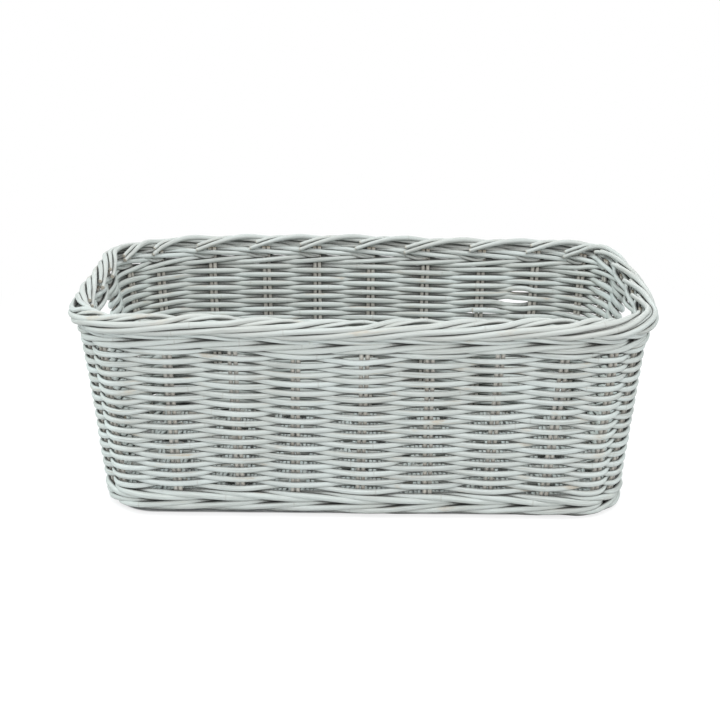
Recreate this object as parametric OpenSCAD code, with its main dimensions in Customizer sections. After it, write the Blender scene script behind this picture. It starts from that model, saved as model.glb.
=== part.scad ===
// Rattan storage basket: an open rectangular basket with rounded corners and a hand-hole in each end.
// The walls stand on pairs of upright stakes. Rods woven round them, row over row, fill the walls,
// a wale binds the weave at the foot and under the rim, and a plaited border closes the rim.
// +Z is up, +X runs along the length, and the origin is the middle of the footprint on the floor.

/* [Overall] */
// Outside length of the rim, at the middle of its ends
rim_length = 514; // [430:2:576]
// Outside width of the rim
rim_width = 298; // [250:2:340]
// Height from the floor to the top of the border
basket_height = 184; // [150:2:210]
// How far each end bows out at its middle, at the rim
end_bow = 4; // [0:0.5:8]
// How far the foot stands in from the rim at the front and the back
wall_lean = 17; // [0:1:30]
// How far the foot stands in from the rim at each end
end_lean = 20; // [0:1:32]
// Corner radius of the wall's middle line at the rim
rim_corner_r = 60; // [44:1:70]
// Corner radius of the wall's middle line at the floor
foot_corner_r = 42; // [34:1:50]

/* [Woven rods] */
// Thickness of a woven rod
weaver_d = 4; // [3:0.1:4.6]
// Gap between a woven rod and the stakes that it passes
weave_gap = 0.25; // [0.15:0.05:0.6]
// Least gap between one row and the next
row_gap = 0.26; // [0.2:0.02:0.6]
// Gap where one length of rod ends and the next begins
joint_gap = 0.3; // [0.2:0.05:0.8]
// Rods in the wale at the foot
foot_wale_rods = 5; // [3:1:6]
// Rods in the wale under the border
top_wale_rods = 4; // [3:1:5]

/* [Stakes] */
// Thickness of one stake rod
stake_d = 3.6; // [3:0.1:4.2]
// Gap between the two rods of a pair
stake_gap = 0.6; // [0.3:0.1:1.5]
// Distance from pair to pair along the rim
stake_pitch = 55; // [48:1:60]

/* [Hand-holes] */
// Rows left out of each end for the hand-hole
handle_rows = 8; // [6:1:10]
// How far the cut rows run past the stakes beside a hand-hole
handle_stub = 2.5; // [1.5:0.5:6]

/* [Border] */
// Thickness of a border rod
border_d = 4.4; // [3.6:0.1:5.2]
// Least gap between border rods
border_gap = 0.3; // [0.3:0.05:0.8]

/* [Foot] */
// How far the pair of rods under the foot wale is drawn in
foot_tuck = 2; // [0:0.5:4]

/* [Base] */
// Thickness of a base stick
base_stick_d = 5; // [4:0.5:7]
// Distance from one base stick to the next
base_stick_pitch = 34; // [30:1:40]
// Width of a woven base strip, which is two rods laid side by side
base_strip_w = 7.4; // [5:0.2:9]
// Thickness of a base strip
base_strip_t = 3; // [2:0.2:4]
// Gap between one base strip and the next
base_strip_gap = 0.6; // [0.3:0.1:2]
// Height of the base's underside above the floor
base_lift = 3; // [1:0.5:8]

/* [Hidden] */
// Sides of a round rod
facets = 32;
// Sides of a border rod
border_sides = 8;
// Points along a woven rod from one stake to the next
span_steps = 3;
// Bearings of the two corner pairs, as shares of the corner's right angle
corner_stake_shares = [0.31, 0.69];
// Where a border rod lies at its own stake and at each stake after it: over the stake, low outside,
// high outside, on top, inside, and its tail. Both are shares of the room that a rod takes
border_out_shares = [0, 1.7, 1.74, 0.55, -1.2, -2.1];
border_up_shares = [0, 0, 1.17, 1.8, 0.6, -0.6];
// How much of its last span the tail runs
border_tail_share = 0.8;
// A length too small to matter
least = 0.001;

// Room that one border rod takes, and the reach of the border past the wall's middle line
border_room = border_d + border_gap;
border_half = border_d/2*cos(180/border_sides);
border_reach = max(border_out_shares)*border_room + border_half;
// Height of the border's lowest rods, and of the top of the weave
border_z = basket_height - max(border_up_shares)*border_room - border_half;
weave_top = border_z - border_half - border_gap;

// Half sizes of the wall's middle line at the rim
rim_half_x = rim_length/2 - end_bow - border_reach;
rim_half_y = rim_width/2 - border_reach;
// Offset of a woven rod from the middle line where it passes a stake
weave_offset = stake_d/2 + weaver_d/2 + weave_gap;
wall_half = weave_offset + weaver_d/2;
pair_offset = (stake_d + stake_gap)/2;
pair_half = pair_offset + stake_d/2;

// Levels of rods, from the floor to the border
levels = floor(weave_top/(weaver_d + row_gap));
level_pitch = weave_top/levels;
foot_levels = 1;
row_count = levels - foot_levels - foot_wale_rods - top_wale_rods;
first_row = foot_levels + foot_wale_rods;
first_cut_row = first_row + row_count - handle_rows;
function level_z(i) = level_pitch*i + weaver_d/2;

// The wall's middle line at height z is a rounded rectangle that narrows towards the floor, and its ends
// bow out towards the rim
function inset(side, z) = (side % 2 == 0 ? end_lean : wall_lean)*(1 - z/basket_height);
function corner_r(z) = foot_corner_r + (rim_corner_r - foot_corner_r)*z/basket_height;
function half(side, z) = (side % 2 == 0 ? rim_half_x : rim_half_y) - inset(side, z);
function flat(side, z) = half(side, z) - corner_r(z);
function depth(side, z) = half(side + 1, z);
function bow(side, u, z) = side % 2 == 1 ? end_bow*z/basket_height*pow(1 - u*u, 1.5) : 0;
function bearing(a) = [cos(a), sin(a)];

// A place along the wall is a number: its whole part is the side (front, right, back, left), the first
// half of its fraction runs along the side's flat and the second half round the corner after it
function side_of(w) = floor(w) % 4;
function turn(w) = floor(w)*90 - 90 + max(0, w - floor(w) - 0.5)*180;
function wall(w, z) =
    let (side = side_of(w), f = w - floor(w), u = 4*f - 1, a = floor(w)*90 - 90)
    f < 0.5 ? (depth(side, z) + bow(side, u, z))*bearing(a) + flat(side, z)*u*bearing(a + 90)
    : (depth(side, z) - corner_r(z))*bearing(a) + flat(side, z)*bearing(a + 90) + corner_r(z)*bearing(turn(w));
function place_on_flat(side, along, z) = side + (along/flat(side, z) + 1)/4;

// The stakes' places, anticlockwise from the front left
function side_stakes(side) = floor((flat(side, basket_height) - pair_half)/stake_pitch);
STAKES = [for (side = [0:3]) each concat(
    [for (i = [-side_stakes(side):side_stakes(side)]) place_on_flat(side, i*stake_pitch, basket_height)],
    [for (share = corner_stake_shares) side + 0.5 + share/2])];
stake_count = len(STAKES);
function is_corner(k) = STAKES[k] - floor(STAKES[k]) > 0.5;
function is_handle(k) = side_of(STAKES[k]) % 2 == 1 && abs(STAKES[k] - floor(STAKES[k]) - 0.25) < least;
// Stake k's place, counted on past the last stake
function stake_place(k) = STAKES[k % stake_count] + 4*floor(k/stake_count);
function place_after(t) = stake_place(floor(t)) + (stake_place(floor(t) + 1) - stake_place(floor(t)))*(t - floor(t));

// Half the clear width of a hand-hole at height z
function handle_half(z) = stake_pitch*flat(1, z)/flat(1, basket_height) - pair_half - handle_stub;
handle_bottom = level_pitch*first_cut_row;
handle_top = level_pitch*(first_cut_row + handle_rows);

// Every rod of n woven together passes inside one stake in n, each one stake after the last
function ease(u) = u*u*(3 - 2*u);
function passes(k, n, phase) = ((k + stake_count) % stake_count + phase) % n == 0 ? -1 : 1;
function sway(t, n, phase) =
    let (k = floor(t), a = passes(k, n, phase), b = passes(k + 1, n, phase))
    weave_offset*(a + (b - a)*ease(t - k));

// Points of a woven rod between two places, as [place, offset from the middle line]
function way(from, to, n, phase) =
    let (steps = [for (k = [0:stake_count + 1], i = [0:span_steps - 1]) k + i/span_steps],
         inner = [for (t = steps) if (place_after(t) > from + least && place_after(t) < to - least) t],
         first = stake_before(from), last = stake_before(to))
    concat([[from, sway(first, n, phase)]], [for (t = inner) [place_after(t), sway(t, n, phase)]],
           [[to, sway(last, n, phase)]]);
// The spans travelled at a place, which is the inverse of place_after
function stake_before(w) =
    let (k = max([for (i = [-1:stake_count]) if (stake_or_before(i) <= w + least/10) i]), a = stake_or_before(k))
    k + (w - a)/(stake_or_before(k + 1) - a);
function stake_or_before(k) = k < 0 ? STAKES[stake_count - 1] - 4 : stake_place(k);

// A rod that lies level, through points of [place, offset]
module level_rod(points, z) {
    outer = [for (p = points) wall(p[0], z) + (p[1] + weaver_d/2)*bearing(turn(p[0]))];
    inner = [for (p = points) wall(p[0], z) + (p[1] - weaver_d/2)*bearing(turn(p[0]))];
    translate([0, 0, z - weaver_d/2])
        linear_extrude(weaver_d)
            polygon(concat(outer, [for (i = [len(inner) - 1:-1:0]) inner[i]]));
}

// The lengths that make one round: a flat and a corner on each side, with the hand-holes left open
function lengths(z, cut) = [for (side = [0:3]) each
    let (gap = joint_gap/flat(side, z)/4, edge = handle_half(z))
    cut && side % 2 == 1
        ? [[side + gap, place_on_flat(side, -edge, z)], [place_on_flat(side, edge, z), side + 0.5 - gap],
           [side + 0.5, side + 1]]
        : [[side + gap, side + 0.5 - gap], [side + 0.5, side + 1]]];

module woven_round(level, n, phase, cut = false)
    for (part = lengths(level_z(level), cut))
        level_rod(way(part[0], part[1], n, phase), level_z(level));

module plain_round(level, offset)
    for (part = lengths(level_z(level), false))
        level_rod([for (p = way(part[0], part[1], 1, 0)) [p[0], offset]], level_z(level));

// An upright rod from height z1 to z2 beside stake place w
module stake_rod(w, along, z1, z2) {
    a = turn(w);
    low = wall(w, z1) + along*bearing(a + 90);
    rise = wall(w, z2) - wall(w, z1);
    length = norm([rise.x, rise.y, z2 - z1]);
    translate([low.x, low.y, z1])
        rotate([0, atan2(norm(rise), z2 - z1), norm(rise) > least ? atan2(rise.y, rise.x) : 0])
            cylinder(h = length, d = stake_d, $fn = facets);
}

module stake_pair(k)
    for (along = [-pair_offset, pair_offset]) {
        bottom = foot_levels*level_pitch;
        if (is_handle(k)) {
            stake_rod(STAKES[k], along, bottom, handle_bottom);
            stake_rod(STAKES[k], along, handle_top, weave_top);
        } else
            stake_rod(STAKES[k], along, bottom, weave_top);
    }

module stakes_of(side, corner)
    for (k = [0:stake_count - 1])
        if (side_of(STAKES[k]) == side && is_corner(k) == corner)
            stake_pair(k);

// A border rod leaves stake k, runs outside the next stakes, up over the rim and down inside the wall
border_spans = len(border_out_shares) - 1;
border_steps = concat([for (t = [0:0.5:border_spans - 1]) t],
                      [border_spans - 1 + border_tail_share/2, border_spans - 1 + border_tail_share]);
function along(shares, t) = let (i = min(floor(t), border_spans - 1)) shares[i] + (shares[i + 1] - shares[i])*(t - i);
module border_rod(k) {
    rings = [for (t = border_steps)
        let (w = place_after(k + t), out = bearing(turn(w)),
             p = wall(w, basket_height) + along(border_out_shares, t)*border_room*out,
             z = border_z + along(border_up_shares, t)*border_room)
        [for (j = [0:border_sides - 1])
            let (a = 360*(j + 0.5)/border_sides, r = border_d/2*cos(a))
            [p.x + r*out.x, p.y + r*out.y, z + border_d/2*sin(a)]]];
    polyhedron(points = [for (ring = rings) each ring], faces = tube_faces(len(rings), border_sides));
}

function tube_faces(rings, sides) = concat(
    [[for (j = [0:sides - 1]) j]],
    [for (i = [0:rings - 2], j = [0:sides - 1])
        let (a = i*sides, b = (i + 1)*sides, next = (j + 1) % sides) [a + j, b + j, b + next, a + next]],
    [[for (j = [sides - 1:-1:0]) (rings - 1)*sides + j]]);

module border_of(side)
    color([0.78, 0.8, 0.79])
        for (k = [0:stake_count - 1])
            if (side_of(STAKES[k]) == side)
                border_rod(k);

// The base fills the foot, inside the wall's inner face
base_amplitude = base_stick_d/2 + base_strip_t/2 + weave_gap;
base_z = base_lift + base_amplitude + base_strip_t/2;
base_inset = wall_half + weave_gap;
base_corner = foot_corner_r - base_inset;
// Half the base's extent in one direction, at a distance d from its middle in the other
function base_half(side, d) =
    let (over = max(0, d - flat(side + 1, 0)))
    flat(side, 0) + sqrt(max(0, base_corner*base_corner - over*over));
base_sticks_each_side = floor((half(1, 0) - base_inset - base_stick_d)/base_stick_pitch);
base_strip_pitch = base_strip_w + base_strip_gap;
base_strips_each_side = floor((half(0, 0) - base_inset - base_strip_w/2)/base_strip_pitch);

module base_sticks()
    color([0.72, 0.66, 0.57])
        for (i = [-base_sticks_each_side:base_sticks_each_side]) {
            y = i*base_stick_pitch;
            reach = base_half(0, abs(y) + base_stick_d/2);
            translate([-reach, y, base_z])
                rotate([0, 90, 0])
                    cylinder(h = 2*reach, d = base_stick_d, $fn = facets);
        }

// A strip rises over one stick and dips under the next
function strip_height(y, phase) =
    let (t = y/base_stick_pitch, k = floor(t), s = (k + phase) % 2 == 0 ? 1 : -1)
    base_amplitude*s*(1 - 2*(t - k));

module base_strip(i) {
    reach = base_half(1, abs(i)*base_strip_pitch + base_strip_w/2);
    turns = [for (j = [-base_sticks_each_side:base_sticks_each_side])
        if (abs(j)*base_stick_pitch < reach - base_stick_d) j*base_stick_pitch];
    phase = abs(i) % 2;
    line = [for (y = concat([-reach], turns, [reach])) [y, strip_height(y, phase)]];
    outline = concat([for (p = line) [p.x, p.y - base_strip_t/2]],
                     [for (j = [len(line) - 1:-1:0]) [line[j].x, line[j].y + base_strip_t/2]]);
    translate([i*base_strip_pitch - base_strip_w/2, 0, base_z])
        rotate([90, 0, 90])
            linear_extrude(base_strip_w)
                polygon(outline);
}

module base_strips()
    color([0.75, 0.78, 0.77])
        for (i = [-base_strips_each_side:base_strips_each_side])
            base_strip(i);

module foot_border()
    color([0.76, 0.79, 0.78])
        for (level = [0:foot_levels - 1], s = [-1, 1])
            plain_round(level, s*(weaver_d + row_gap)/2 - foot_tuck*(foot_levels - level));

module foot_wale()
    color([0.76, 0.79, 0.78])
        for (i = [0:foot_wale_rods - 1])
            woven_round(foot_levels + i, foot_wale_rods, i);

module top_wale()
    color([0.78, 0.81, 0.8])
        for (i = [0:top_wale_rods - 1])
            woven_round(first_row + row_count + i, top_wale_rods, i);

module weaver_row(i)
    color(i % 2 == 0 ? [0.73, 0.77, 0.76] : [0.7, 0.74, 0.73])
        woven_round(first_row + i, 2, i % 2, cut = first_row + i >= first_cut_row);

SIDES = ["front", "right", "back", "left"];
CORNERS = ["front_right", "back_right", "back_left", "front_left"];
function row_name(i) = str("weaver_row_", i < 9 ? "0" : "", i + 1);

module side_stakes_of(side) color([0.74, 0.69, 0.6]) stakes_of(side, false);
module corner_stakes_of(side) color([0.74, 0.69, 0.6]) stakes_of(side, true);

base_sticks();
base_strips();
foot_border();
foot_wale();
top_wale();
for (side = [0:3]) {
    side_stakes_of(side);
    corner_stakes_of(side);
    border_of(side);
}
for (i = [0:row_count - 1])
    weaver_row(i);
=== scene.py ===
import bpy
import numpy as np
from mathutils import Matrix, Vector


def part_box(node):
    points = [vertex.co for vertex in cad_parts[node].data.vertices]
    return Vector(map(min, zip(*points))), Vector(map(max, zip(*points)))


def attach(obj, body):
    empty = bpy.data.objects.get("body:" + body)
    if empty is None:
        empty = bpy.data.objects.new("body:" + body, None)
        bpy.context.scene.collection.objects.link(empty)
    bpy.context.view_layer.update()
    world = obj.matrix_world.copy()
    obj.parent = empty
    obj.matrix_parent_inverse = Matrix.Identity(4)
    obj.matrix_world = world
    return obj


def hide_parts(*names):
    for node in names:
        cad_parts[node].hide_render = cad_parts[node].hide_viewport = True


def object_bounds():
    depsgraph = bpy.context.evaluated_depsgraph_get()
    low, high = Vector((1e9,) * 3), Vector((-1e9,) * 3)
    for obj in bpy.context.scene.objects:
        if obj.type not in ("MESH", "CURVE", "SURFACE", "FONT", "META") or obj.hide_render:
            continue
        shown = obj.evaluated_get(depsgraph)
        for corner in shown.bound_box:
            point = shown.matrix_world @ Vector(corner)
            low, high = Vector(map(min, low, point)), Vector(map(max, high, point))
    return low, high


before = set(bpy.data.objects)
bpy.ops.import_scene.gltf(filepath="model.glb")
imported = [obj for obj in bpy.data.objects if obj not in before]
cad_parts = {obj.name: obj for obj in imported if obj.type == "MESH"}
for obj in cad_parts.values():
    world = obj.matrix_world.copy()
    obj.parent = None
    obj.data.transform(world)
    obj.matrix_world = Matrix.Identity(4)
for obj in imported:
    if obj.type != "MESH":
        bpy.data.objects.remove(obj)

cad_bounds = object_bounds()

# Sizes are in millimetres until a mesh is made. The wall's middle line is the rounded rectangle that the
# stakes stand on. A place on it is a number from 0 to 4: its whole part is the side (front, right, back,
# left, anticlockwise seen from above), the first half of its fraction runs along the side's flat and the
# second half round the corner after it.
RNG = np.random.default_rng(11)
TAU = 2*np.pi
MM = 1000               # millimetres in a metre


def box(node):
    """A node's lowest and highest corners."""
    low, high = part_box(node)
    return np.array(low)*MM, np.array(high)*MM


HEIGHT = cad_bounds[1].z*MM
ROWS = sorted(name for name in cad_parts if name.startswith("weaver_row_"))
ROW_Z = np.array([(box(name)[0][2] + box(name)[1][2])/2 for name in ROWS])
FIRST_CUT = 22          # the rows from this one on stop at the hand-holes
ROD_REACH = 6.05        # how far a woven rod's outer side stands out from the middle line in the frame
FOOT_CORNER_R, RIM_CORNER_R = 42.0, 60.0
END_BOW = 4.0           # how far the ends bow out at the rim; every second row shows the bow's full reach
HALF_X = np.polyfit(ROW_Z[1:FIRST_CUT:2], [box(name)[1][0] - ROD_REACH for name in ROWS[1:FIRST_CUT:2]], 1)
HALF_X[0] -= END_BOW/HEIGHT
HALF_Y = np.polyfit(ROW_Z[:FIRST_CUT], [box(name)[1][1] - ROD_REACH for name in ROWS[:FIRST_CUT]], 1)
PITCH = (ROW_Z[-1] - ROW_Z[0])/(len(ROWS) - 1)
LEAN = HALF_Y[0]        # the wall leans out, so what stands out from it also stands lower
SIDE_NAMES = ["front", "right", "back", "left"]
CORNER_NAMES = ["front_right", "back_right", "back_left", "front_left"]


def smooth(x):
    """A soft step from zero to one."""
    x = np.clip(x, 0, 1)
    return x*x*(3 - 2*x)


def corner_r(z):
    """The middle line's corner radius at one height."""
    return FOOT_CORNER_R + (RIM_CORNER_R - FOOT_CORNER_R)*z/HEIGHT


def wall(place, z):
    """Points of the wall's middle line and the outward directions there."""
    place, z = np.broadcast_arrays(np.asarray(place, float) % 4, np.asarray(z, float))
    side = np.floor(place)
    part = place - side
    even = side % 2 == 0
    half_x, half_y = np.polyval(HALF_X, z), np.polyval(HALF_Y, z)
    r = corner_r(z)
    flat = np.where(even, half_x, half_y) - r
    depth = np.where(even, half_y, half_x)
    a = (side - 1)*TAU/4
    turn = a + np.maximum(0, part - 0.5)*TAU/2
    share = np.clip(4*part - 1, -1, 1)
    along = flat*share
    bow = np.where(even, 0, END_BOW*z/HEIGHT*(1 - share**2)**1.5)
    deep = np.where(part < 0.5, depth + bow, depth - r)
    round_r = np.where(part < 0.5, 0, r)
    x = deep*np.cos(a) - along*np.sin(a) + round_r*np.cos(turn)
    y = deep*np.sin(a) + along*np.cos(a) + round_r*np.sin(turn)
    return np.stack([x, y], -1), np.stack([np.cos(turn), np.sin(turn)], -1)


def flat_half(side, z):
    """Half the length of a side's flat."""
    return np.polyval(HALF_X if side % 2 == 0 else HALF_Y, z) - corner_r(z)


# Where the stakes stand on the flats at two heights, and in the corners as shares of the right angle
LOW_Z, HIGH_Z = 27.0, 151.0
LOW_STAKES = [
    [-160.3, -106.2, -58.7, -2.5, 55.3, 107.4, 156.5],
    [-52.5, 0.8, 52.0],
    [-162.5, -112.0, -58.5, -3.0, 48.5, 97.5, 151.5],
    [-51.5, -1.2, 53.0],
]
HIGH_STAKES = [
    [-163.6, -109.0, -56.2, 0.9, 55.1, 113.6, 167.3],
    [-55.2, -0.6, 54.4],
    [-170.6, -116.2, -59.6, -4.8, 49.5, 100.6, 155.2],
    [-54.0, 0.7, 55.4],
]
CORNER_SHARES = [[0.29, 0.6], [0.25, 0.6], [0.29, 0.68], [0.24, 0.56]]


def stake_places(z):
    """The places of all the stake pairs at one height."""
    places = []
    for side in range(4):
        rise = (z - LOW_Z)/(HIGH_Z - LOW_Z)
        for low, high in zip(LOW_STAKES[side], HIGH_STAKES[side]):
            along = low + (high - low)*rise
            places.append(side + (along/flat_half(side, z) + 1)/4)
        places += [side + 0.5 + share/2 for share in CORNER_SHARES[side]]
    return np.array(places)


HIGH_PLACES = stake_places(HIGH_Z)
STAKES = len(HIGH_PLACES)
BY_SIDE = [[k for k, place in enumerate(HIGH_PLACES) if int(place) == side] for side in range(4)]
HOLE_EDGES = [(9, 11), (23, 25)]        # the stake pairs on either side of each hand-hole
HOLE_STAKES = [10, 24]


class Round:
    """The wall's middle line at one height, measured by length and by stakes passed."""
    GRID = np.linspace(0, 4, 2401)      # places, close enough together to measure the line by

    def __init__(self, z):
        line, _ = wall(self.GRID[:-1], z)
        steps = np.linalg.norm(np.roll(line, -1, 0) - line, axis=1)
        self.lengths = np.concatenate([[0], np.cumsum(steps)])
        self.total = self.lengths[-1]
        at = np.interp(stake_places(z), self.GRID, self.lengths)
        self.first = at[0]
        self.stake_lengths = np.append(at, at[0] + self.total)

    def length(self, t):
        """The length at which t stakes are passed."""
        lap = np.floor(np.asarray(t)/STAKES)
        return lap*self.total + np.interp(t - lap*STAKES, np.arange(STAKES + 1), self.stake_lengths)

    def passed(self, length):
        """How many stakes are passed at a length."""
        lap = np.floor((length - self.first)/self.total)
        return lap*STAKES + np.interp(length - lap*self.total, self.stake_lengths, np.arange(STAKES + 1))

    def place(self, length):
        return np.interp(length % self.total, self.lengths, self.GRID)

    def steps(self, t0, t1, step=3.0):
        """Lengths, stakes passed and places from stake count t0 to t1, evenly spaced."""
        l0, l1 = self.length(t0), self.length(t1)
        lengths = np.linspace(l0, l1, max(2, int(abs(l1 - l0)/step) + 1))
        return lengths, self.passed(lengths), self.place(lengths)


def through(knots, values, t):
    """A smooth line through the values at the knots."""
    knots, values = np.asarray(knots, float), np.asarray(values, float)
    slope = np.gradient(values, knots)
    i = np.clip(np.searchsorted(knots, t) - 1, 0, len(knots) - 2)
    h = knots[i + 1] - knots[i]
    u = (t - knots[i])/h
    return ((1 + 2*u)*(1 - u)**2*values[i] + u*(1 - u)**2*h*slope[i]
            + u*u*(3 - 2*u)*values[i + 1] + u*u*(u - 1)*h*slope[i + 1])


# How far the hand-made rim and foot rise and fall from level, by place
RIM_WAVE = [(0.0, 3.1), (0.07, 3.1), (0.15, 0.3), (0.21, -0.9), (0.25, -0.7), (0.31, 0.5), (0.36, 0.0),
            (0.43, 1.6), (0.5, 1.7), (0.62, 1.2), (0.85, 0.0), (1.1, -0.8), (1.25, -0.5), (1.45, 0.0),
            (1.6, 2.2), (1.7, 3.0), (1.82, 1.6), (1.99, 1.6), (2.08, 2.4), (2.14, 2.4),
            (2.22, 4.4), (2.29, 5.3), (2.35, 5.3), (2.43, 4.5), (2.52, 2.6), (2.7, 0.9), (2.9, 0.9),
            (3.05, 0.3), (3.25, 0.0), (3.5, -0.2), (3.7, 1.0), (3.88, 2.2)]
FOOT_WAVE = [(0.02, 3.2), (0.11, 3.2), (0.18, 2.4), (0.22, 1.4), (0.275, 0.1), (0.335, 1.7), (0.41, 1.2),
             (0.48, 0.3), (0.7, 0.0), (1.1, 1.0), (1.3, 1.4), (1.7, 0.0), (2.1, 1.6), (2.3, 2.2),
             (2.5, 0.6), (2.75, 0.0), (3.1, 0.8), (3.3, 1.2), (3.75, 2.2)]

# Slow waves of the wall outward, and of the rows up and down: waves round it, size, waves in height, shift
BOWS = [(2, 0.55, 1, 0.4), (3, 0.4, 2, 1.9), (5, 0.3, 1, 3.3), (9, 0.25, 2, 0.8)]
DRIFTS = [(5, 0.4, 2, 0.3), (8, 0.35, 3, 2.1), (11, 0.3, 2, 4.0), (17, 0.25, 4, 1.1)]

# Where the hand-made wall stands out: place and width, how far, height and reach in height
SWELLS = [(2.97, 0.14, 5.8, 184.0, 75.0), (3.47, 0.12, 2.8, 184.0, 60.0), (1.42, 0.12, 4.5, 148.0, 26.0),
          (1.5, 0.22, -1.6, 184.0, 20.0)]

# Slits where the rows stand apart: side, middle along it, half length, height, opening
SLITS = [(2, -156.5, 10.0, 128.4, 2.1), (2, -151.0, 15.5, 119.8, 2.9), (2, -118.5, 17.0, 108.8, 1.9),
         (0, -5.0, 11.0, 152.0, 1.3)]
SLIT_EDGE, SLIT_FADE = 1.2, 9       # how near to a slit its full push is reached, and how far it is felt


def slit_shift(place, z):
    """How far the slits push a row up or down."""
    shift = np.zeros(np.broadcast(place, z).shape)
    for side, middle, reach, height, opening in SLITS:
        at = side + (middle/flat_half(side, height) + 1)/4
        away = (place - at)*4*flat_half(side, height)/reach
        push = opening*np.tanh((z - height)/SLIT_EDGE)
        shift = shift + push*np.exp(-np.abs(z - height)/SLIT_FADE)*np.exp(-away**4)
    return shift


def wave(table, place):
    """The value of a closed table of places and heights."""
    places, heights = np.array(table).T
    places = np.concatenate([places[-2:] - 4, places, places[:2] + 4])
    heights = np.concatenate([heights[-2:], heights, heights[:2]])
    return through(places, heights, np.asarray(place) % 4)


def lay(place, z, off):
    """Points off outward from the settled basket's middle line, and the outward directions."""
    line, out = wall(place, z)
    share = z/HEIGHT
    bow = sum(a*np.sin(TAU*n*place/4 + shift)*np.sin(TAU/2*m*np.clip(share, 0, 1))
              for n, a, m, shift in BOWS)
    drift = sum(a*np.sin(TAU*n*place/4 + shift + TAU/2*m*share) for n, a, m, shift in DRIFTS)
    bow = bow + sum(amount*np.exp(-((place % 4 - at)/width)**2 - ((z - height)/reach)**2)
                    for at, width, amount, height, reach in SWELLS)
    rise = smooth(share)
    lift = wave(RIM_WAVE, place)*rise + wave(FOOT_WAVE, place)*(1 - rise) + drift*4*rise*(1 - rise)
    z = z + lift + slit_shift(place % 4, z) - off*LEAN
    points = np.column_stack([line + (off + bow)[:, None]*out, z])
    return points, np.column_stack([out, np.zeros(len(out))])


WANDER_SCALES = (1, 1.7, 2.9)


def wander(along, amount, length=150.0):
    """A slow random wandering along a rod."""
    shifts = RNG.uniform(0, TAU, 3)
    waves = sum(np.sin(along*TAU/(length*s) + shift) for s, shift in zip(WANDER_SCALES, shifts))
    return amount*waves/WANDER_SCALES[1]


def unit(v):
    return v/np.linalg.norm(v, axis=-1, keepdims=True)


JOINT_PITCH = 230.0                         # distance between the ring-like joints of a rattan rod
JOINT_REACH, JOINT_SWELL = 2.2, 0.07        # how far a joint reaches along the rod, and how much it swells
SIZE_SPREAD, SIZE_WANDER = 0.05, 0.02       # how rods differ in thickness, and one rod along its length
CLOSED_WAVES = 5                            # how often a closed rod's thickness comes and goes
BEVEL, BEVEL_SHARE = 0.35, 0.86             # a cut end's bevel, and the share of the thickness left there
CUT_REACH = 1.2                             # how far a cut end's look reaches along the rod
LONGEST_SHIFT = 900                         # how far into the pattern of joints and fibres a rod may start


def with_bevels(points, out, depth, height):
    """Adds the bevels at the two cut ends of a rod."""
    ahead = unit(points[1:2] - points[:1])*BEVEL
    behind = unit(points[-1:] - points[-2:-1])*BEVEL
    first, last = points[:1], points[-1:]
    points = np.concatenate([first, first + ahead, points[1:-1], last - behind, last])
    out = np.concatenate([out[:1], out, out[-1:]])
    depth, height = (np.broadcast_to(v, len(points) - 2) for v in (depth, height))
    depth, height = (np.concatenate([v[:1]*BEVEL_SHARE, v, v[-1:]*BEVEL_SHARE]) for v in (depth, height))
    return points, out, depth, height


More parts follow.
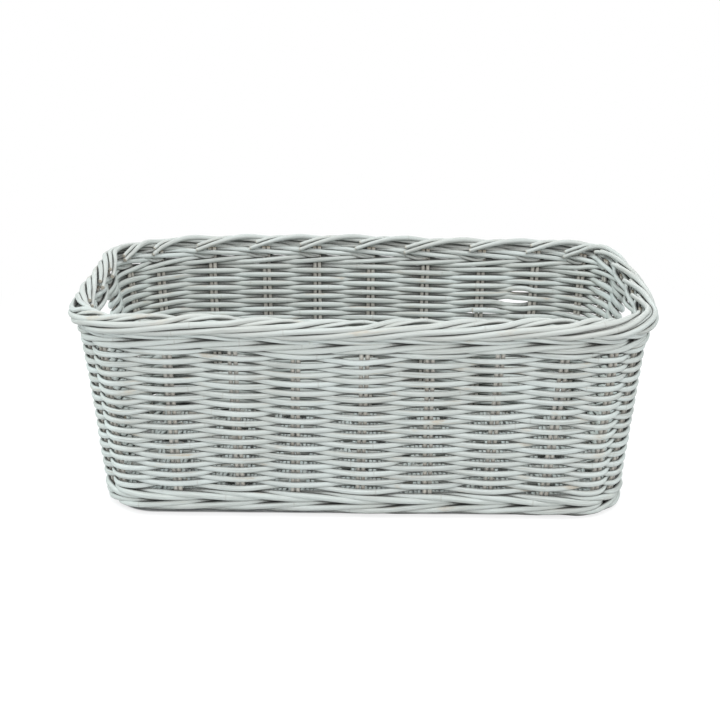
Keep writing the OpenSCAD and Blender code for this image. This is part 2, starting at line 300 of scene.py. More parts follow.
class Rods:
    """Rods that make one piece of the scene."""

    def __init__(self, sides=10):
        self.sides = sides
        self.points, self.faces, self.flat = [], [], []
        self.space, self.tint, self.end = [], [], []
        self.count = 0

    def add(self, points, out, depth, height, closed=False):
        """A rod along points, with half sizes depth along out and height across it."""
        m = self.sides
        if not closed:
            points, out, depth, height = with_bevels(points, out, depth, height)
        n = len(points)
        depth, height = (np.broadcast_to(v, n).copy() for v in (depth, height))
        after, before = np.roll(points, -1, 0), np.roll(points, 1, 0)
        if not closed:
            after[-1], before[0] = points[-1], points[0]
        line = unit(after - before)
        up = unit(np.cross(out, line))
        out = np.cross(line, up)
        steps = np.linalg.norm(np.diff(points, axis=0), axis=1)
        along = np.concatenate([[0], np.cumsum(steps)])
        total = along[-1]
        shift = RNG.uniform(0, LONGEST_SHIFT)
        tint = RNG.uniform(0, 1)
        size = 1 + RNG.uniform(-SIZE_SPREAD, SIZE_SPREAD) + wander(along, SIZE_WANDER)
        if closed:
            # Here the thickness has to come back to its start, so even waves take the wandering's place
            swell = SIZE_WANDER*np.sin(along/total*TAU*CLOSED_WAVES + tint*TAU)
            size = 1 + RNG.uniform(-SIZE_SPREAD, SIZE_SPREAD) + swell
        joint = np.abs(((along + shift)/JOINT_PITCH + 0.5) % 1 - 0.5)*JOINT_PITCH
        size = size*(1 + JOINT_SWELL*np.exp(-(joint/JOINT_REACH)**2))
        a = np.arange(m)*TAU/m
        across = (depth*size)[:, None]*np.cos(a)
        upward = (height*size)[:, None]*np.sin(a)
        rings = points[:, None, :] + across[..., None]*out[:, None, :] + upward[..., None]*up[:, None, :]
        self.points.append(rings.reshape(-1, 3))
        space = np.stack([np.broadcast_to((along + shift)[:, None], across.shape), across, upward], -1)
        self.space.append(space.reshape(-1, 3))
        self.tint.append(np.full(n*m, tint))
        end = np.zeros(n) if closed else np.exp(-np.minimum(along, total - along)/CUT_REACH)
        self.end.append(np.repeat(end, m))
        self.skin(n, closed)

    def skin(self, n, closed):
        """The faces of a rod of n rings, the last one added."""
        m = self.sides
        i = np.arange(n if closed else n - 1)[:, None]*m
        ahead = (i + m) % (n*m)
        j = np.arange(m)[None, :]
        k = (j + 1) % m
        quads = np.stack([i + j, ahead + j, ahead + k, i + k], -1).reshape(-1, 4) + self.count
        self.faces += quads.tolist()
        self.flat += [False]*len(quads)
        if not closed:
            self.faces.append(list(range(self.count, self.count + m)))
            self.faces.append(list(range(self.count + n*m - 1, self.count + (n - 1)*m - 1, -1)))
            self.flat += [True, True]
        self.count += n*m

    def piece(self, name, material, slot, *nodes):
        """Makes the scene's piece, which replaces the named nodes."""
        mesh = bpy.data.meshes.new(name)
        mesh.from_pydata((np.concatenate(self.points)/MM).tolist(), [], self.faces)
        mesh.polygons.foreach_set("use_smooth", [not flat for flat in self.flat])
        space = mesh.attributes.new("rod_space", "FLOAT_VECTOR", "POINT")
        space.data.foreach_set("vector", (np.concatenate(self.space)/MM).ravel())
        for key, values in (("rod_tint", self.tint), ("rod_end", self.end)):
            mesh.attributes.new(key, "FLOAT", "POINT").data.foreach_set("value", np.concatenate(values))
        mesh.materials.append(material)
        mesh.update()
        piece = bpy.data.objects.new(name, mesh)
        bpy.context.scene.collection.objects.link(piece)
        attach(piece, "root")
        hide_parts(*nodes)


# Materials

class Nodes:
    """The shader nodes of a material or world, as they are added and joined."""

    def __init__(self, owner):
        owner.use_nodes = True
        self.tree = owner.node_tree
        self.tree.nodes.clear()

    def add(self, kind, inputs=None, **settings):
        node = self.tree.nodes.new("ShaderNode" + kind)
        for key, value in settings.items():
            setattr(node, key, value)
        for key, value in (inputs or {}).items():
            if hasattr(value, "is_output"):
                self.tree.links.new(value, node.inputs[key])
            else:
                node.inputs[key].default_value = value
        return node

    def math(self, operation, a, b=0.0, c=0.0, clamp=False):
        return self.add("Math", {0: a, 1: b, 2: c}, operation=operation, use_clamp=clamp).outputs[0]

    def ramp(self, value, low, high, out_low=0.0, out_high=1.0):
        node = self.add("MapRange", {"Value": value, "From Min": low, "From Max": high, "To Min": out_low,
                                     "To Max": out_high}, interpolation_type="SMOOTHSTEP")
        return node.outputs["Result"]

    def mix(self, share, a, b):
        node = self.add("Mix", {"Factor": share}, data_type="RGBA")
        for key, value in ((6, a), (7, b)):
            if hasattr(value, "is_output"):
                self.tree.links.new(value, node.inputs[key])
            else:
                node.inputs[key].default_value = (*value, 1)
        return node.outputs[2]

    def noise(self, vector, scale, detail, roughness=0.5):
        return self.add("TexNoise", {"Vector": vector, "Scale": scale, "Detail": detail,
                                     "Roughness": roughness}).outputs["Fac"]

    def stretched(self, vector, stretch, scale, detail=3.0, roughness=0.55):
        """Noise that is drawn out along a rod."""
        moved = self.add("VectorMath", {0: vector, 1: (stretch, 1, 1)}, operation="MULTIPLY").outputs[0]
        return self.noise(moved, scale, detail, roughness)

    def seen(self):
        """One for rays from the camera or from a glossy surface, and zero for others."""
        path = self.add("LightPath")
        return self.math("ADD", path.outputs["Is Camera Ray"], path.outputs["Is Glossy Ray"], clamp=True)


WASH = (0.62, 0.668, 0.652)
WASH_THIN = (0.47, 0.485, 0.455)
BARE = (0.46, 0.365, 0.26)
CUT = (0.47, 0.385, 0.29)
PORE = (0.2, 0.15, 0.1)
SCAR = (0.27, 0.235, 0.19)
# The next two colours darken the gaps between rods: part real stain and dirt, part painted shade where the
# rods shade each other.
STAIN_AND_SHADE = (0.29, 0.27, 0.235)
GRIME_AND_SHADE = (0.055, 0.056, 0.053)
LINE = (0.3, 0.305, 0.285)
BUMP_STRENGTH, BUMP_DEPTH = 0.35, 0.0004
# Within this reach the gaps get dirt and painted shade.
GAP_REACH = 0.009       # how near, in metres, another rod darkens the surface


def washed(n, grain, tint, wash, thin):
    """A thin whitewash, thinner on some rods, in streaks along them and in blotches over the basket."""
    thinness = n.math("ADD", n.math("MULTIPLY", tint, 0.34), n.ramp(grain["streaks"], 0.4, 0.75, 0.0, 0.42))
    thinness = n.math("ADD", thinness, n.ramp(grain["blotches"], 0.35, 0.7, 0.0, 0.3), clamp=True)
    colour = n.mix(thinness, wash, thin)
    colour = n.mix(n.ramp(grain["fibres"], 0.56, 0.78, 0.0, 0.42), colour, thin)
    lined = n.math("MULTIPLY", n.ramp(grain["lines"], 0.52, 0.66, 0.0, 0.5),
                   n.ramp(grain["blotches"], 0.35, 0.6, 0.4, 1.0))
    return n.mix(lined, colour, LINE)


def joint_rings(n, space, grain):
    """The joints of a rod: a dark ring where each leaf grew."""
    along = n.add("SeparateXYZ", {0: space}).outputs[0]
    ring = n.math("FRACT", n.math("MULTIPLY_ADD", along, MM/JOINT_PITCH, 0.5))
    ring = n.math("MULTIPLY", n.math("ABSOLUTE", n.math("SUBTRACT", ring, 0.5)), JOINT_PITCH)
    broken = n.ramp(grain["fibres"], 0.35, 0.6, 0.2, 0.75)
    return n.math("MULTIPLY", n.ramp(ring, 0.3, 0.9, 1.0, 0.0), broken)


def dirt_and_shade_in_gaps(n, colour, patches, stain_and_shade, grime_and_shade):
    """Stain and painted shade beside other rods, and dirt with deeper painted shade in the gaps, both from
    ambient occlusion.
    """
    open_share = n.add("AmbientOcclusion", {"Distance": GAP_REACH}, samples=8).outputs["AO"]
    stain_and_shade_share = n.math("MULTIPLY", n.ramp(open_share, 0.72, 0.25, 0.0, stain_and_shade),
                     n.ramp(patches, 0.3, 0.62, 0.3, 1.0))
    dirt_and_shade_share = n.math("MULTIPLY", n.ramp(open_share, 0.7, 0.28, 0.0, grime_and_shade),
                   n.ramp(patches, 0.2, 0.6, 0.8, 1.0))
    return n.mix(dirt_and_shade_share, n.mix(stain_and_shade_share, colour, STAIN_AND_SHADE), GRIME_AND_SHADE)


def rattan(name, wash=WASH, thin=WASH_THIN, worn=0.0, grime_and_shade=0.92, stain_and_shade=0.72, cut=CUT, pore=PORE):
    """Rattan under a thin whitewash: fibres along the rod, worn patches, tan cut ends, dirt and painted
    shade in the gaps.
    """
    material = bpy.data.materials.new(name)
    n = Nodes(material)
    space = n.add("Attribute", attribute_name="rod_space").outputs["Vector"]
    tint = n.add("Attribute", attribute_name="rod_tint").outputs["Fac"]
    end = n.add("Attribute", attribute_name="rod_end").outputs["Fac"]
    where = n.add("TexCoord").outputs["Object"]
    grain = {
        "fibres": n.stretched(space, 0.03, 2600.0),
        "streaks": n.stretched(space, 0.05, 420.0),
        "lines": n.stretched(space, 0.025, 850.0, 2.0),
        "patches": n.stretched(space, 0.3, 75.0, 4.0, 0.6),
        "blotches": n.noise(where, 16.0, 3.0),
    }
    colour = washed(n, grain, tint, wash, thin)
    wear = n.math("ADD", n.ramp(grain["patches"], 0.62 - worn, 0.78 - worn, 0.0, 0.85),
                  n.ramp(grain["streaks"], 0.66 - worn, 0.8 - worn, 0.0, 0.5), clamp=True)
    colour = n.mix(n.math("MULTIPLY", wear, n.ramp(grain["fibres"], 0.25, 0.6, 0.35, 1.0)), colour, BARE)
    ring = joint_rings(n, space, grain)
    colour = n.mix(n.math("MULTIPLY", ring, 0.35), colour, SCAR)
    pores = n.noise(space, 5200.0, 2.0)
    colour = n.mix(n.ramp(end, 0.35, 0.9, 0.0, 0.9), colour, n.mix(n.ramp(pores, 0.45, 0.6), cut, pore))
    # Painted shade with some real dirt: ambient occlusion darkens the colour where rods lie close together.
    colour = dirt_and_shade_in_gaps(n, colour, grain["patches"], stain_and_shade, grime_and_shade)

    height = n.math("ADD", n.math("MULTIPLY", grain["fibres"], 0.5),
                    n.math("MULTIPLY", grain["streaks"], 0.7))
    height = n.math("SUBTRACT", height, n.math("MULTIPLY", ring, 0.8))
    bump = n.add("Bump", {"Height": height, "Strength": BUMP_STRENGTH, "Distance": BUMP_DEPTH})
    roughness = n.math("ADD", n.ramp(grain["streaks"], 0.3, 0.7, 0.5, 0.66), n.math("MULTIPLY", wear, 0.1))
    shader = n.add("BsdfPrincipled", {"Base Color": colour, "Roughness": roughness,
                                      "Normal": bump.outputs["Normal"], "Specular IOR Level": 0.4})
    n.add("OutputMaterial", {"Surface": shader.outputs[0]})
    return material


# The grime and stain amounts set how strongly each material darkens its gaps with dirt and painted shade.
woven = [rattan("washed_rod", worn=0.03), rattan("washed_rod_thin", wash=(0.6, 0.65, 0.637), worn=0.05)]
wale_look = rattan("washed_wale", wash=(0.62, 0.665, 0.65))
foot_look = rattan("washed_foot", wash=(0.58, 0.625, 0.608), grime_and_shade=1.0, stain_and_shade=0.9)
# The border takes a darker copy of the rods' wash: painted shade that tones down the rim's top, where the
# lights fall strongest.
border_look_painted_darker = rattan("washed_border_painted_darker", wash=(0.515, 0.549, 0.533), thin=(0.49, 0.495, 0.465), worn=0.01,
                     cut=(0.56, 0.52, 0.45), pore=(0.33, 0.28, 0.22))
stake_look = rattan("stake", wash=(0.68, 0.66, 0.61), thin=(0.56, 0.52, 0.45), worn=0.02,
                    grime_and_shade=0.35, stain_and_shade=0.15)
base_look = rattan("base_rod", wash=(0.5, 0.55, 0.545), grime_and_shade=0.6, stain_and_shade=0.4)
stick_look = rattan("base_stick", wash=(0.5, 0.52, 0.5), thin=(0.42, 0.42, 0.39), worn=0.02,
                    grime_and_shade=0.6, stain_and_shade=0.4)

# Stakes, in pairs

STAKE_R, STAKE_DEPTH = 1.9, 1.6
PAIR_OFF = 2.25             # how far each stake of a pair stands from the pair's middle
STAKE_BOTTOM, STAKE_TOP = 5.0, box("front_stakes")[1][2]
STAKE_STEP = 3.5
STAKE_WANDER_OUT, STAKE_WANDER_ALONG = (0.22, 60.0), (0.25, 70.0)
HOLE_BOTTOM = ROW_Z[FIRST_CUT] - PITCH/2
HOLE_TOP = ROW_Z[-1] + PITCH/2
STUB_BELOW, STUB_ABOVE = (0.2, 1.2), (0.2, 1.0)     # how far the cut stakes stand out into a hand-hole


def stake_rod(rods, k, side_off, z0, z1):
    """One stake of pair k, side_off along the wall from the pair's middle."""
    z = np.linspace(z0, z1, max(3, int((z1 - z0)/STAKE_STEP)))
    place = np.array([stake_places(v)[k] for v in z])
    _, out = wall(place, z)
    along = np.column_stack([-out[:, 1], out[:, 0]])
    points, out = lay(place, z, wander(z, *STAKE_WANDER_OUT))
    points[:, :2] += (side_off + wander(z, *STAKE_WANDER_ALONG))[:, None]*along
    rods.add(points, out, STAKE_DEPTH, STAKE_R)


def stakes_piece(node, members):
    """The stake pairs of one node; those at a hand-hole stop below it and start again above."""
    rods = Rods()
    for k in members:
        for off in (-PAIR_OFF, PAIR_OFF):
            if k in HOLE_STAKES:
                stake_rod(rods, k, off, STAKE_BOTTOM, HOLE_BOTTOM + RNG.uniform(*STUB_BELOW))
                stake_rod(rods, k, off, HOLE_TOP - RNG.uniform(*STUB_ABOVE), STAKE_TOP)
            else:
                stake_rod(rods, k, off, STAKE_BOTTOM, STAKE_TOP)
    rods.piece(node + "_rods", stake_look, "stake", node)


for side in range(4):
    flat_count = len(LOW_STAKES[side])
    stakes_piece(SIDE_NAMES[side] + "_stakes", BY_SIDE[side][:flat_count])
    stakes_piece(CORNER_NAMES[side] + "_corner_stakes", BY_SIDE[side][flat_count:])

# Woven rows

WEAVE_OFF = 3.5             # how far a row passes inside or outside the stakes' middle
FOOT_PRESS, PRESS_LOW, PRESS_REACH = 3.0, 20.0, 95.0    # the most, up to which height, and the fade above
ROD_DEPTH, ROD_THICK, ROD_THIN = 2.0, 2.6, 2.45
THICK_FROM, THICK_RUN = 0.3, 0.4        # how near to a stake a rod is at its full height
END_THICK, END_DEPTH = 0.9, 0.7         # how much taller and deeper the rods are at the basket's ends
END_REACH, END_FALL = 1.9, 4            # how that falls off away from the middle of an end
ROW_SAG = 0.5               # how far a row is pressed down where it passes outside a stake
ROW_START, ROW_END = -0.17, 0.13        # where a row starts and ends beside its stake, in stakes
TAIL_START, TAIL_RUN, TAIL_OFF = 0.75, 0.6, 3.9     # how a row's end comes to lie over its start
ROW_WANDER_UP, ROW_WANDER_OUT = (0.16, 150.0), (0.14, 90.0)
TURN_POINTS, TURN_ROOM = 13, 0.3        # a turn round the stakes at a hand-hole
CUT_WAVES, CUT_WAVE = 7, 0.14           # the waves of the rows between the hand-holes

# How the rows' sag comes and goes: waves round the wall, size, shift, and the shift's change up to the rim
SAGS = [(3, 0.6, 4.4, -3), (5, 0.4, 0.7, 5)]


def pressed(z):
    """The rows near the foot are pressed down a little, onto the wale."""
    return z - FOOT_PRESS*(1 - smooth((z - PRESS_LOW)/PRESS_REACH))


def row_sag(place, z, off):
    """How far a row lies lower where it passes outside a stake, more in some parts than in others."""
    share = sum((a*np.sin(TAU*n*place/4 + shift + turn*z/HEIGHT) for n, a, shift, turn in SAGS), 1)
    return -ROW_SAG*share*off/WEAVE_OFF


def row_sizes(t, place):
    """A woven rod stands taller where it passes a stake, and is thicker all along the basket's ends."""
    near_end = smooth(END_REACH - END_FALL*np.abs((place - 0.25) % 2 - 1))
    near_stake = smooth((np.abs(np.cos(TAU/2*t)) - THICK_FROM)/THICK_RUN)
    height = ROD_THIN + (ROD_THICK - ROD_THIN)*near_stake
    return ROD_DEPTH + END_DEPTH*near_end, height + END_THICK*near_end


def full_row(rods, z, k):
    """One round that starts and ends on the inside of stake k, its end lying over its start."""
    ring = Round(z)
    lengths, t, place = ring.steps(k + ROW_START, k + STAKES + ROW_END)
    sign = 1 if k % 2 else -1
    off = sign*WEAVE_OFF*np.cos(TAU/2*t)
    z_line = z + wander(lengths, *ROW_WANDER_UP) + row_sag(place, z, off)
    over = smooth((t - (k + STAKES - TAIL_START))/TAIL_RUN)
    off = off - over*TAIL_OFF
    off = off + wander(lengths, *ROW_WANDER_OUT)
    points, out = lay(place, z_line, off)
    rods.add(points, out, *row_sizes(t, place))


def turn_round(ring, edge, way, z0, z1):
    """A rod's way round the stakes beside a hand-hole: 1 is ahead and inward, -1 is back and outward."""
    a = np.linspace(0, TAU/2, TURN_POINTS)[1:-1]
    reach = PAIR_OFF + STAKE_R + ROD_DEPTH + TURN_ROOM
    lengths = ring.length(edge) + way*reach*np.sin(a)
    off = way*WEAVE_OFF*np.cos(a)
    return ring.place(lengths), off, z0 + (z1 - z0)*smooth(a/(TAU/2))


def cut_pair(rods, low_z, high_z, first, last):
    """Two rows between the hand-holes, joined by a turn round the stakes at each."""
    low, high = Round(low_z), Round(high_z)
    _, t0, place0 = low.steps(first, last)
    _, t1, place1 = high.steps(last, first)
    off0 = WEAVE_OFF*np.cos(TAU/2*(t0 - first))
    off1 = -WEAVE_OFF*np.cos(TAU/2*(t1 - first))
    turn0 = turn_round(low, last, 1, low_z, high_z)
    turn1 = turn_round(low, first, -1, high_z, low_z)
    place = np.concatenate([place0, turn0[0], place1, turn1[0]])
    off = np.concatenate([off0, turn0[1], off1, turn1[1]])
    z = np.concatenate([np.full(len(t0), low_z), turn0[2], np.full(len(t1), high_z), turn1[2]])
    t = np.concatenate([t0, np.zeros(len(turn0[0])), t1, np.zeros(len(turn1[0]))])
    lap = np.arange(len(place))/len(place)*TAU
    z = z + CUT_WAVE*np.sin(CUT_WAVES*lap + RNG.uniform(0, TAU)) + row_sag(place, z, off)
    points, out = lay(place, z, off)
    rods.add(points, out, *row_sizes(t, place), closed=True)


for i in range(FIRST_CUT):
    rods = Rods()
    odd = i % 2
    full_row(rods, pressed(ROW_Z[i]), int(RNG.integers(0, STAKES//2))*2 + odd)
    rods.piece("woven_" + ROWS[i][-6:], woven[odd], "washed_rod", ROWS[i])
for i in range(FIRST_CUT, len(ROWS), 2):
    rods = Rods()
    cut_pair(rods, ROW_Z[i], ROW_Z[i + 1], HOLE_EDGES[0][1], HOLE_EDGES[1][0])
    cut_pair(rods, ROW_Z[i], ROW_Z[i + 1], HOLE_EDGES[1][1], HOLE_EDGES[0][0] + STAKES)
    rods.piece("woven_rows_" + ROWS[i][-2:] + "_" + ROWS[i + 1][-2:], woven[i//2 % 2], "washed_rod",
               ROWS[i], ROWS[i + 1])

# Wales: three rods that each pass outside two stakes and inside the third

WALE_OFF = 3.9
WALE_TUCK = 1.8             # the higher, the shorter the stretch inside
WALE_WAVES, WALE_WAVE = 31, 0.2
WALE_THIN, WALE_SWELL = 0.9, 0.14       # thickness as shares of the full one: inside, and added outside
TOP_SIZES = {"spread": 2.5, "depth": 2.35, "thick": 2.7}
FOOT_SIZES = {"spread": 2.4, "depth": 2.5, "thick": 2.75}
FOOT_UPPER, FOOT_LOWER = 8.6, 17.4      # how far the two rounds at the foot lie below its wale's top
FOOT_LOWER_PUSH = -0.3


def wale_round(rods, z, sign, spread, depth, thick, push=0.0):
    """A round of three rods, as one that goes round three times."""
    ring = Round(z)
    _, t, place = ring.steps(0, 3*STAKES)
    t, place = t[:-1], place[:-1]
    phase = t/3
    inside = ((1 + np.cos(TAU*phase))/2)**WALE_TUCK
    off = push + WALE_OFF*(1 - 2*inside)
    rise = sign*spread*np.sin(TAU*phase)
    lap = np.arange(len(t))/len(t)*TAU
    rise = rise + WALE_WAVE*np.sin(WALE_WAVES*lap + RNG.uniform(0, TAU))
    height = thick*(WALE_THIN + WALE_SWELL*np.sin(TAU/2*phase)**2)
    points, out = lay(place, z + rise, off)
    rods.add(points, out, depth, height, closed=True)


top = Rods()
top_middle = (box("top_wale")[0][2] + box("top_wale")[1][2])/2
wale_round(top, top_middle + PITCH, 1, **TOP_SIZES)
wale_round(top, top_middle - PITCH, -1, **TOP_SIZES)
top.piece("top_wale_rods", wale_look, "washed_rod", "top_wale")

foot = Rods()
foot_high = box("foot_wale")[1][2]
wale_round(foot, foot_high - FOOT_UPPER, 1, **FOOT_SIZES)
wale_round(foot, foot_high - FOOT_LOWER, -1, **FOOT_SIZES, push=FOOT_LOWER_PUSH)
foot.piece("foot_wale_rods", foot_look, "washed_rod", "foot_wale")

# Foot border: two rods twisted round each other, tucked in under the wale

FOOT_R = 2.4
FOOT_TUCK, FOOT_LIFT = -2.6, 1.0
TWIST_OUT, TWIST_UP = 2.2, 0.9


def foot_border():
    rods = Rods()
    ring = Round(FOOT_R)
    for turn in (0, TAU/2):
        _, t, place = ring.steps(0, STAKES)
        t, place = t[:-1], place[:-1]
        off = FOOT_TUCK + TWIST_OUT*np.cos(TAU/2*t + turn)
        z = FOOT_R + FOOT_LIFT + TWIST_UP*np.sin(TAU/2*t + turn)
        points, out = lay(place, z, off)
        rods.add(points, out, FOOT_R, FOOT_R, closed=True)
    rods.piece("foot_border_rods", foot_look, "washed_rod", "foot_border")


foot_border()

# Border: from each stake pair two rods run outside, over the rim and down inside

# A rod's way round the rim is measured across it in millimetres: from inside the wall out to the lowest
# place, up the outside, over the top and down the inner side, in about four stakes. The second rod of
# each pair lies tucked in below the first and comes out beside it over the top.
BORDER_R, SECOND_R = 2.55, 2.35
BORDER_DROP = 11.9
ACROSS = [-14.1, -9.4, -4.7, 0.0, 4.7, 9.4, 14.1, 18.8, 23.5, 28.2, 32.9, 37.6]
ACROSS_OUT = [0.0, 0.6, 4.0, 7.9, 8.5, 6.5, 2.2, -2.6, -6.2, -7.6, -8.0, -8.2]
ACROSS_UP = [-10.5, -5.5, -2.4, -2.0, 2.6, 6.9, 9.2, 8.6, 5.2, 0.7, -4.0, -8.6]
CORE_OUT, CORE_UP = -0.3, 1.2

# How far across a rod is after so many stakes: along the front and back it turns quickly over the top,
# at the right end it runs nearly level, and at the left end it turns evenly
PASSED = [-0.1, 0.25, 0.6, 1.0, 1.6, 2.2, 2.7, 3.0, 3.2, 3.45, 3.7, 4.0, 4.4]
LONG_SIDES = [-14.1, -9.5, -3.8, -0.2, 3.0, 5.8, 7.8, 9.6, 12.3, 16.8, 20.6, 25.5, 33.0]
RIGHT_END = [-14.1, -9.5, -3.8, 0.0, 4.0, 8.0, 11.5, 13.5, 15.0, 17.2, 19.4, 22.0, 25.0]
LEFT_END = [-14.1, -9.5, -3.8, 0.0, 3.6, 7.6, 12.0, 15.0, 17.0, 19.5, 22.0, 25.0, 29.0]
RIGHT_PLACES, LEFT_PLACES = (0.62, 1.55), (2.7, 3.6)    # where the rods of the two ends cross the top
CROSSING = 3                            # stakes passed where a rod crosses the top
BORDER_STEP = 2.6
BORDER_START, SECOND_START, BORDER_END = -0.06, -0.02, 4.32     # in stakes
END_SPREAD, SECOND_SPREAD = (-0.1, 0.1), (-0.12, 0.04)          # how unevenly the tips are cut, in stakes
SECOND_BELOW, SECOND_BESIDE = 3.0, 1.6  # how far back across the second rod lies, and how much more later
BESIDE_FROM, BESIDE_RUN = 2.9, 0.8
DRAW, DRAW_FROM, DRAW_RUN = 3.0, 0.3, 0.5       # how far the second rod is drawn in to the core
LEAST_REACH = 4                         # nearer the core a rod is drawn in less
RELEASE_FROM, RELEASE_RUN = 3.1, 0.9
LEFT_FROM = 2.3                         # at the left end the second rod comes out here already
TIP_SHARE, TIP_FROM, TIP_RUN = 0.76, 3.3, 0.9   # a border rod's tip is this share of its full thickness
ACROSS_WANDER, BORDER_WANDER_OUT, BORDER_WANDER_UP = (0.45, 130.0), (0.3, 110.0), (0.25, 110.0)
rim = Round(HEIGHT)


def border_rod(rods, k, second, start, end):
    """The first or second rod of stake pair k, between two distances from it in stakes."""
    lengths, t, place = rim.steps(k + start, k + end, BORDER_STEP)
    t = t - k
    crossing = HIGH_PLACES[(k + CROSSING) % STAKES]
    at_left = LEFT_PLACES[0] < crossing < LEFT_PLACES[1]
    at_right = RIGHT_PLACES[0] < crossing < RIGHT_PLACES[1]
    table = LEFT_END if at_left else RIGHT_END if at_right else LONG_SIDES
    across = through(PASSED, table, t) + wander(lengths, *ACROSS_WANDER)
    beside = smooth((t - (LEFT_FROM if at_left else BESIDE_FROM))/BESIDE_RUN)
    if second:
        across = across - SECOND_BELOW - SECOND_BESIDE*beside
    across = np.clip(across, ACROSS[0], ACROSS[-1])
    off, up = through(ACROSS, ACROSS_OUT, across), through(ACROSS, ACROSS_UP, across)
    if second:
        reach = np.hypot(off - CORE_OUT, up - CORE_UP)
        release = 0 if at_right else smooth((t - (LEFT_FROM if at_left else RELEASE_FROM))/RELEASE_RUN)
        draw = 1 - DRAW*(1 - release)*smooth((t - DRAW_FROM)/DRAW_RUN)/np.maximum(reach, LEAST_REACH)
        off, up = CORE_OUT + (off - CORE_OUT)*draw, CORE_UP + (up - CORE_UP)*draw
    off = off + wander(lengths, *BORDER_WANDER_OUT)
    up = up + wander(lengths, *BORDER_WANDER_UP)
    points, out = lay(place, HEIGHT - BORDER_DROP + up, off)
    r = (SECOND_R if second else BORDER_R)*(1 - (1 - TIP_SHARE)*smooth((t - TIP_FROM)/TIP_RUN))
    rods.add(points, out, r, r)


for side in range(4):
    rods = Rods()
    for k in BY_SIDE[side]:
        end = BORDER_END + RNG.uniform(*END_SPREAD)
        border_rod(rods, k, False, BORDER_START, end)
        border_rod(rods, k, True, SECOND_START, end + RNG.uniform(*SECOND_SPREAD))
    rods.piece(SIDE_NAMES[side] + "_border_rods", border_look_painted_darker, "border_rod", SIDE_NAMES[side] + "_border")

# Base: paired rods woven over and under the sticks

stick_low, stick_high = box("base_sticks")
BASE_Z = (stick_low[2] + stick_high[2])/2
STICK_R = (stick_high[2] - stick_low[2])/2
BASE_STICK_PITCH, BASE_STRIP_PITCH = 34.0, 8.0
STICKS_EACH_SIDE, STRIPS_EACH_SIDE = 3, 26
STICK_POINTS, STRIP_POINTS = 110, 76
STRIP_HALF_W, STRIP_HALF_T = 3.7, 1.5
STRIP_ROD_OFF, STRIP_ROD_HALF_W = 1.85, 1.75
STRIP_ENDS = 1.5            # how unevenly the strips' rods are cut
STICK_WANDER, STRIP_WANDER = (0.4, 160.0), (0.15, 120.0)
BASE_INSET, BASE_GAP = 6.3, 0.25
BASE_SWAY = STICK_R + STRIP_HALF_T + BASE_GAP


def base_half(side, d):
    """Half the base's extent along one direction, at a distance d from its middle in the other."""
    r = FOOT_CORNER_R - BASE_INSET
    over = max(0.0, d - flat_half(side + 1, 0.0))
    return flat_half(side, 0.0) + np.sqrt(max(0.0, r*r - over*over))


def base_sticks():
    sticks = Rods()
    for i in range(-STICKS_EACH_SIDE, STICKS_EACH_SIDE + 1):
        y = i*BASE_STICK_PITCH
        reach = base_half(0, abs(y) + STICK_R)
        x = np.linspace(-reach, reach, STICK_POINTS)
        points = np.column_stack([x, y + wander(x, *STICK_WANDER), np.full(len(x), BASE_Z)])
        sticks.add(points, np.tile([0, -1.0, 0], (len(x), 1)), STICK_R, STICK_R)
    sticks.piece("base_stick_rods", stick_look, "base_stick", "base_sticks")


def base_strips():
    strips = Rods(8)
    for i in range(-STRIPS_EACH_SIDE, STRIPS_EACH_SIDE + 1):
        reach = base_half(1, abs(i)*BASE_STRIP_PITCH + STRIP_HALF_W)
        sign = 1 if i % 2 == 0 else -1
        for off in (-STRIP_ROD_OFF, STRIP_ROD_OFF):
            low, high = -reach + RNG.uniform(0, STRIP_ENDS), reach - RNG.uniform(0, STRIP_ENDS)
            y = np.linspace(low, high, STRIP_POINTS)
            x = i*BASE_STRIP_PITCH + off + wander(y, *STRIP_WANDER)
            z = BASE_Z + sign*BASE_SWAY*np.cos(TAU/2*y/BASE_STICK_PITCH)
            points = np.column_stack([x, y, z])
            strips.add(points, np.tile([1.0, 0, 0], (len(y), 1)), STRIP_ROD_HALF_W, STRIP_HALF_T)
    strips.piece("base_strip_rods", base_look, "base_strip", "base_strips")


base_sticks()
base_strips()

# Floor, in metres

FLOOR_HALF = 6.0
FOOTPRINT, FOOTPRINT_R = (0.2205, 0.1195), 0.04     # half sizes and corner radius of the plain middle
FOOTPRINT_EDGE = 0.003
SHADOW_NEAR, SHADOW_FAR = 0.4, 0.75                 # between them the shadow fades into plain white
BOUNCE = 0.62               # the floor's grey for light that bounces off it
FAINT, GLOW = 0.3, 0.76     # near the basket the camera sees this grey and this glow together


def grey(value):
    return (value, value, value, 1)


def past_footprint(n, where):
    """How far a point lies out from the footprint without its rounded edge."""
    sides = n.add("SeparateXYZ", {0: where}).outputs
    squares = []
    for i in range(2):
        beyond = n.math("SUBTRACT", n.math("ABSOLUTE", sides[i]), FOOTPRINT[i] - FOOTPRINT_R)
        past = n.math("MAXIMUM", beyond, 0.0)
        squares.append(n.math("MULTIPLY", past, past))
    return n.math("SQRT", n.math("ADD", squares[0], squares[1]))


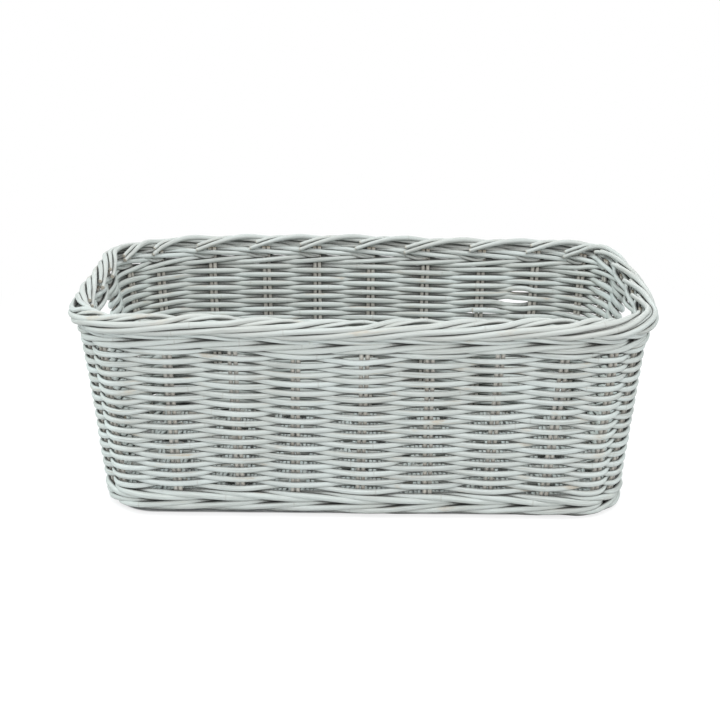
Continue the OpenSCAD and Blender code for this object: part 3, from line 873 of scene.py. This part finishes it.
def stage_material():
    """A pale floor that reads white to the camera and keeps the object's shadow."""
    material = bpy.data.materials.new("stage_floor")
    n = Nodes(material)
    plain = n.add("BsdfDiffuse", {"Color": grey(BOUNCE)}).outputs[0]
    faint = n.add("BsdfDiffuse", {"Color": grey(FAINT)}).outputs[0]
    glow = n.add("Emission", {"Color": grey(1), "Strength": GLOW}).outputs[0]
    near = n.add("AddShader", {0: faint, 1: glow}).outputs[0]
    far = n.add("Emission", {"Color": grey(1), "Strength": 1.0}).outputs[0]
    where = n.add("TexCoord").outputs["Object"]
    away = n.add("VectorMath", {0: where}, operation="LENGTH").outputs["Value"]
    white = n.add("MixShader", {0: n.ramp(away, SHADOW_NEAR, SHADOW_FAR), 1: near, 2: far}).outputs[0]
    outside = n.ramp(past_footprint(n, where), FOOTPRINT_R - FOOTPRINT_EDGE, FOOTPRINT_R)
    shader = n.add("MixShader", {0: n.math("MULTIPLY", n.seen(), outside), 1: plain, 2: white}).outputs[0]
    n.add("OutputMaterial", {"Surface": shader})
    return material


def floor():
    mesh = bpy.data.meshes.new("stage_floor")
    corners = [(-FLOOR_HALF, -FLOOR_HALF, 0), (FLOOR_HALF, -FLOOR_HALF, 0), (FLOOR_HALF, FLOOR_HALF, 0),
               (-FLOOR_HALF, FLOOR_HALF, 0)]
    mesh.from_pydata(corners, [], [(0, 1, 2, 3)])
    mesh.materials.append(stage_material())
    stage = bpy.data.objects.new("stage_floor", mesh)
    bpy.context.scene.collection.objects.link(stage)


floor()

# Light, in metres and watts

FILL_COLOUR, FILL_STRENGTH = (0.93, 0.97, 1.0, 1), 0.42
MIDDLE = (0, 0, 0.1)        # what the lights are aimed at
# Left and right are as the camera sees them
LIGHTS = {
    "key": {"place": (0.25, -2.0, 1.25), "size": (1.5, 0.9), "watts": 25},
    "top": {"place": (0.05, -0.7, 2.05), "target": (0, 0.05, 0.05), "size": (1.6, 1.2), "watts": 19},
    "side_left": {"place": (-1.8, 0.1, 1.3), "size": (1.2, 1.2), "watts": 25, "colour": (0.9, 1.0, 0.99)},
    "side_right": {"place": (1.8, 0.0, 1.3), "size": (1.2, 1.2), "watts": 12, "colour": (0.88, 1.0, 0.99)},
    "back": {"place": (0.3, 1.9, 1.0), "size": (1.5, 0.9), "watts": 9},
}


def studio():
    """A world that the camera sees as white and that fills the shadows softly."""
    world = bpy.data.worlds.new("studio")
    n = Nodes(world)
    fill = n.add("Background", {"Color": FILL_COLOUR, "Strength": FILL_STRENGTH}).outputs[0]
    white = n.add("Background", {"Color": grey(1), "Strength": 1.0}).outputs[0]
    both = n.add("MixShader", {0: n.seen(), 1: fill, 2: white}).outputs[0]
    n.add("OutputWorld", {0: both})
    bpy.context.scene.world = world


def area_light(name, place, size, watts, target=MIDDLE, colour=(1, 1, 1)):
    data = bpy.data.lights.new(name, "AREA")
    data.shape = "RECTANGLE"
    data.size, data.size_y = size
    data.energy = watts
    data.color = colour
    light = bpy.data.objects.new(name, data)
    bpy.context.scene.collection.objects.link(light)
    light.location = place
    light.rotation_euler = (Vector(target) - Vector(place)).to_track_quat("-Z", "Y").to_euler()


studio()
for name, settings in LIGHTS.items():
    area_light(name, **settings)

# The camera stands where the photograph's outline puts it
FOCAL_PIXELS, PHOTO_LONG = 1400.0, 721.0
SENSOR = 36.0
CLIP_END = 50
TILT, YAW, ROLL = np.radians(18.45), np.radians(-0.65), np.radians(0.19)
AIM, DISTANCE = np.array([-4.4, 0.0, 101.5]), 1304.5


def camera():
    forward = np.array([0, np.cos(TILT), -np.sin(TILT)])
    above = np.array([0, np.sin(TILT), np.cos(TILT)])
    right = np.array([1.0, 0, 0])
    eye = AIM - forward*DISTANCE
    right, above = np.cos(ROLL)*right + np.sin(ROLL)*above, np.cos(ROLL)*above - np.sin(ROLL)*right
    turned = np.array([[np.cos(YAW), -np.sin(YAW), 0], [np.sin(YAW), np.cos(YAW), 0], [0, 0, 1]]).T
    eye, right, above, forward = (turned @ v for v in (eye, right, above, forward))
    data = bpy.data.cameras.new("camera")
    data.sensor_width = SENSOR
    data.lens = FOCAL_PIXELS/PHOTO_LONG*SENSOR
    data.clip_end = CLIP_END
    view = bpy.data.objects.new("camera", data)
    bpy.context.scene.collection.objects.link(view)
    pose = np.eye(4)
    pose[:3, 0], pose[:3, 1], pose[:3, 2], pose[:3, 3] = right, above, -forward, eye/MM
    view.matrix_world = Matrix(pose.tolist())
    return view


bpy.context.scene.camera = camera()
bpy.context.scene.view_settings.view_transform = "Standard"
